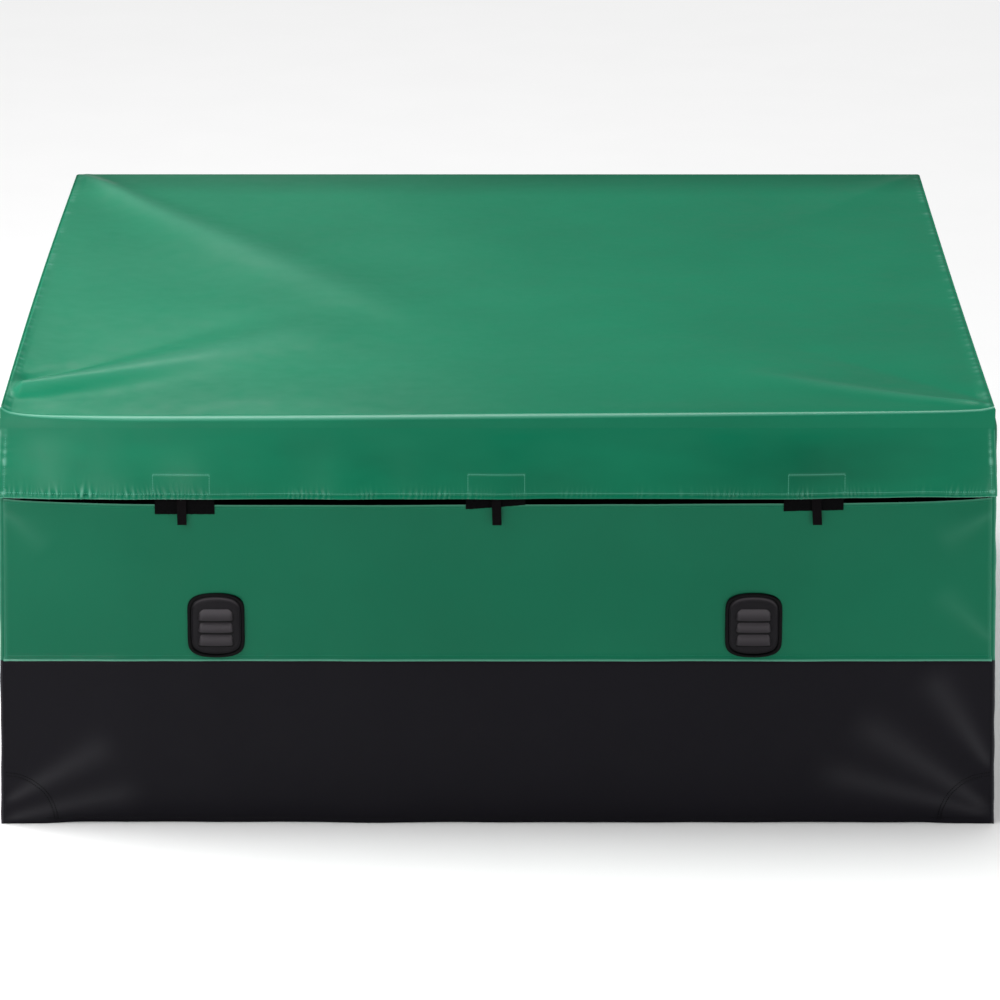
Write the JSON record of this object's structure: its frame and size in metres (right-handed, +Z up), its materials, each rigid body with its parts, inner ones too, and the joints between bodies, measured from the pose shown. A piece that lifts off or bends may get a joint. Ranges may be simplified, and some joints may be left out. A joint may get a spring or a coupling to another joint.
{
  "type": "spa cover",
  "caption": "Full-height fitted weather cover for a square hot tub: coated cloth on a tube frame, with a hinged front flap, hook-and-loop tabs and louvred vents.",
  "frame": {"origin": "on the floor, under the middle of the cover", "axes": "+Z up; -Y towards the front, the side with the flap and the vents; +X to the right as seen from the front"},
  "size_m": [2.165, 2.1722, 0.95],
  "materials": {
    "green_cloth": "glossy PVC-coated tarpaulin, green outside",
    "black_cloth": "glossy PVC-coated tarpaulin, black",
    "hook_and_loop": "black hook-and-loop tape, napped",
    "webbing": "black woven polypropylene webbing",
    "vent_plastic": "black moulded plastic, fine texture",
    "vent_mesh": "black woven insect mesh",
    "frame_tube": "powder-coated steel tube, light grey",
    "connector": "black moulded nylon"
  },
  "bodies": {
    "enclosure": {"top_panel": "green_cloth", "front_panel": "green_cloth", "right_panel": "green_cloth", "back_panel": "green_cloth", "left_panel": "green_cloth", "front_skirt": "black_cloth", "top_rail_front": "frame_tube", "base_rail_front": "frame_tube", "right_skirt": "black_cloth", "top_rail_right": "frame_tube", "base_rail_right": "frame_tube", "back_skirt": "black_cloth", "top_rail_back": "frame_tube", "base_rail_back": "frame_tube", "left_skirt": "black_cloth", "top_rail_left": "frame_tube", "base_rail_left": "frame_tube", "corner_patch_front_left": "black_cloth", "hold_down_strap_front_left": "webbing", "post_front_left": "frame_tube", "top_corner_front_left": "connector", "foot_front_left": "connector", "corner_patch_front_right": "black_cloth", "hold_down_strap_front_right": "webbing", "post_front_right": "frame_tube", "top_corner_front_right": "connector", "foot_front_right": "connector", "corner_patch_back_right": "black_cloth", "hold_down_strap_back_right": "webbing", "post_back_right": "frame_tube", "top_corner_back_right": "connector", "foot_back_right": "connector", "corner_patch_back_left": "black_cloth", "hold_down_strap_back_left": "webbing", "post_back_left": "frame_tube", "top_corner_back_left": "connector", "foot_back_left": "connector", "loop_tape_left": "hook_and_loop", "loop_tape_center": "hook_and_loop", "loop_tape_right": "hook_and_loop", "vent_louvre_left": "vent_plastic", "vent_mesh_left": "vent_mesh", "vent_ring_left": "vent_plastic", "crossbar_left": "frame_tube", "tee_front_left": "connector", "tee_back_left": "connector", "vent_louvre_right": "vent_plastic", "vent_mesh_right": "vent_mesh", "vent_ring_right": "vent_plastic", "crossbar_right": "frame_tube", "tee_front_right": "connector", "tee_back_right": "connector"},
    "flap": {"front_flap": "green_cloth", "hook_patch_left": "hook_and_loop", "hook_patch_center": "hook_and_loop", "hook_patch_right": "hook_and_loop"},
    "pull_tab_left": {"pull_tab_left": "webbing"},
    "pull_tab_center": {"pull_tab_center": "webbing"},
    "pull_tab_right": {"pull_tab_right": "webbing"}
  },
  "joints": [
    {"name": "flap_hinge", "type": "hinge", "parent": "enclosure", "child": "flap", "pos_m": [0, -1.07225, 0.904], "axis": [-1, 0, 0], "range_deg": [0, 175]},
    {"name": "pull_tab_left_hinge", "type": "hinge", "parent": "flap", "child": "pull_tab_left", "pos_m": [-0.682, -1.08368, 0.7404], "axis": [-1, 0, 0], "range_deg": [0, 90]},
    {"name": "pull_tab_center_hinge", "type": "hinge", "parent": "flap", "child": "pull_tab_center", "pos_m": [-0.003, -1.08573, 0.7404], "axis": [-1, 0, 0], "range_deg": [0, 90]},
    {"name": "pull_tab_right_hinge", "type": "hinge", "parent": "flap", "child": "pull_tab_right", "pos_m": [0.687, -1.08362, 0.7404], "axis": [-1, 0, 0], "range_deg": [0, 90]}
  ]
}
